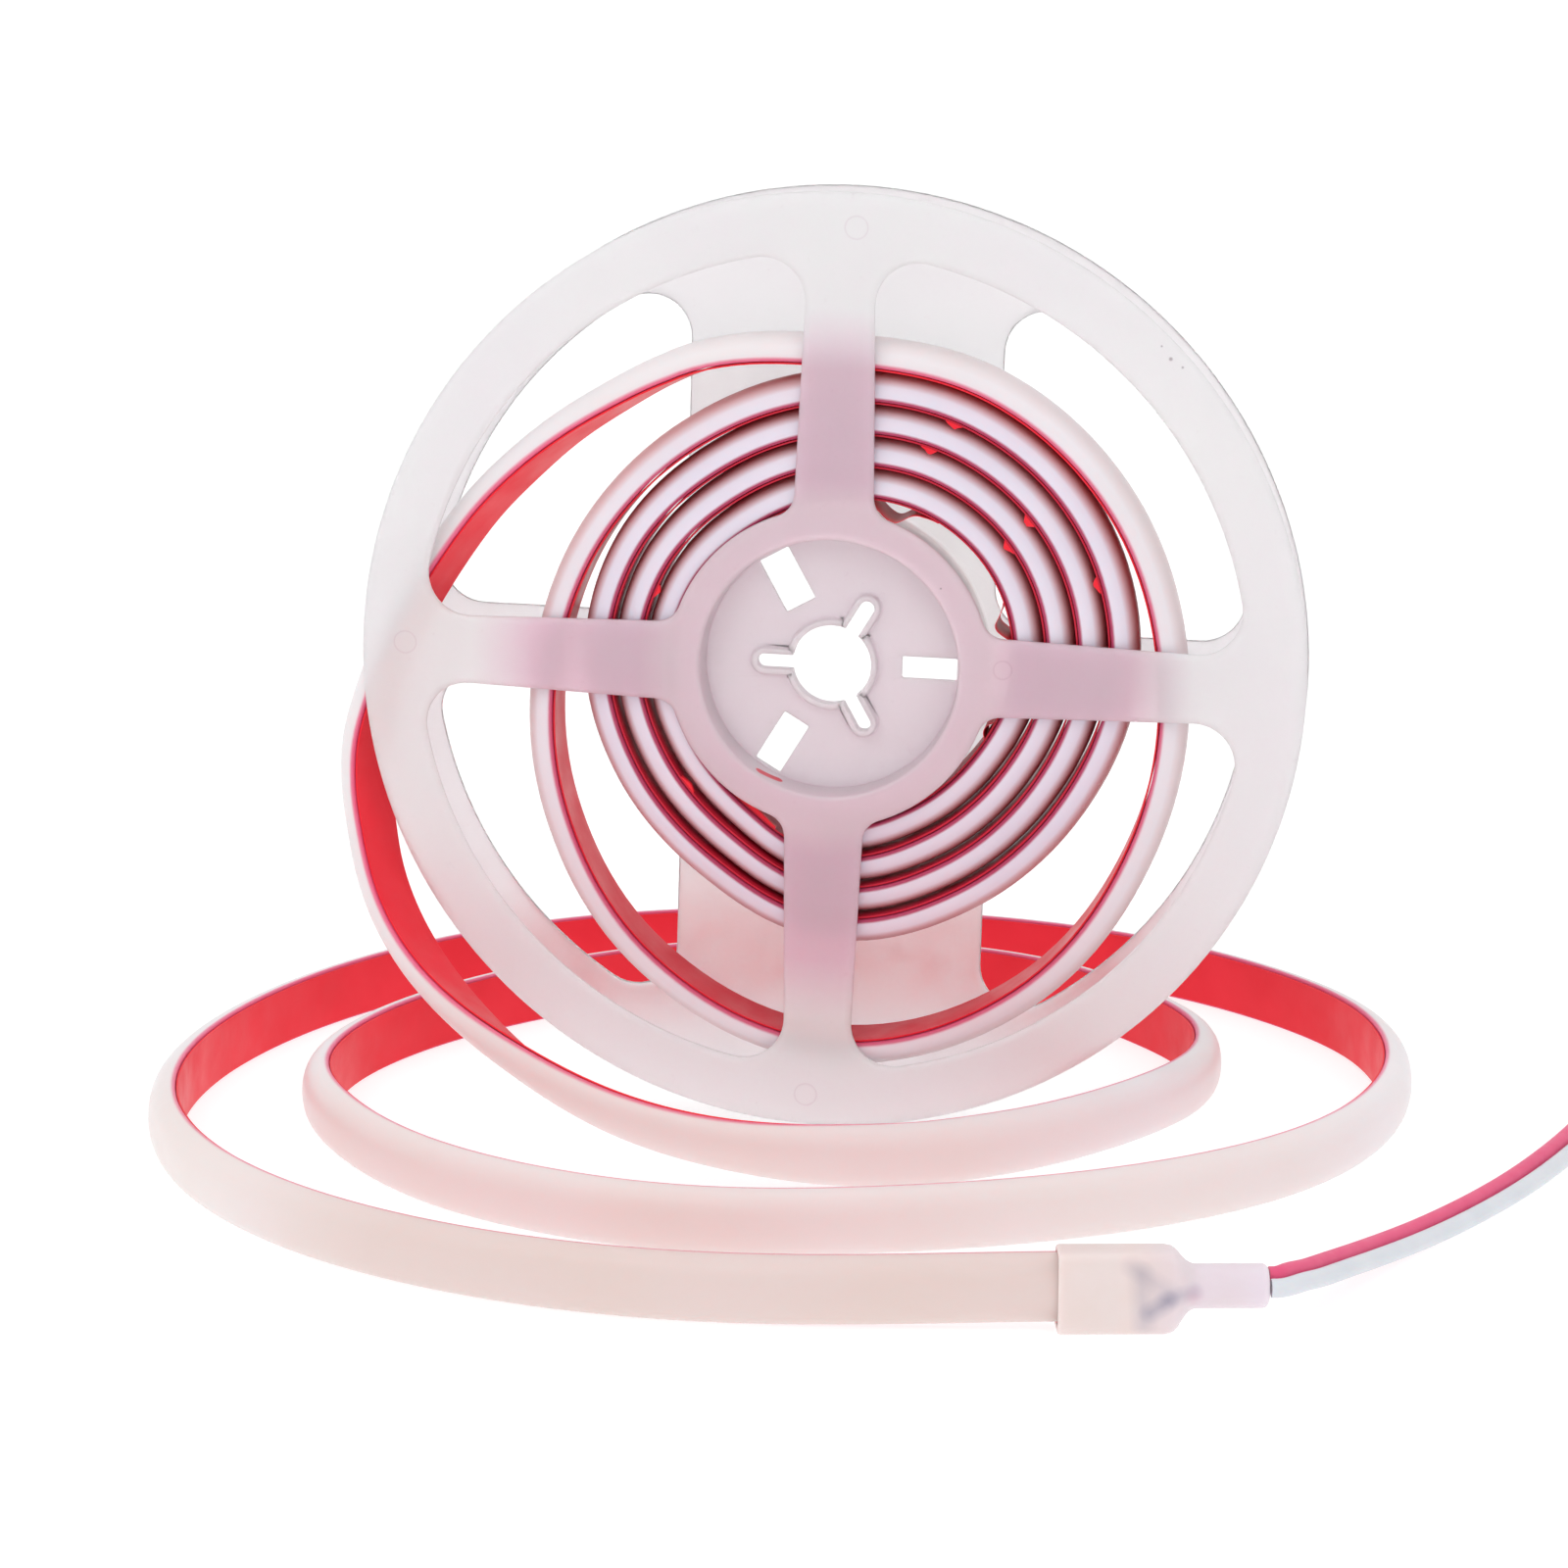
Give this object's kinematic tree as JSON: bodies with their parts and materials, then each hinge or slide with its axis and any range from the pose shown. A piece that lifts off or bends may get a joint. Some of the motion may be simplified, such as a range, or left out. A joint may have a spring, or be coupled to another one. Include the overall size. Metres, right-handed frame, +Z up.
{
  "type": "led neon flex on a reel",
  "caption": "Flexible silicone neon light strip with red adhesive tape, wound on a plastic reel, its free end looped on the floor and closed by a cap with a twin lead.",
  "frame": {"origin": "middle of the box round the reel and strip, on the floor", "axes": "+Z up, reel axis along Y, -Y faces the camera, +X to the right of the picture"},
  "size_m": [0.2856, 0.2424, 0.178],
  "materials": {
    "cap": "satin translucent",
    "core_red": "satin",
    "core_white": "satin",
    "silicone": "satin translucent",
    "reel": "milky translucent",
    "tape": "satin"
  },
  "bodies": {
    "root": {"end_cap": "cap", "lead_red": "core_red", "lead_white": "core_white", "neon_strip": "silicone", "reel_back": "reel", "reel_front": "reel", "tape_liner": "tape"}
  },
  "joints": []
}
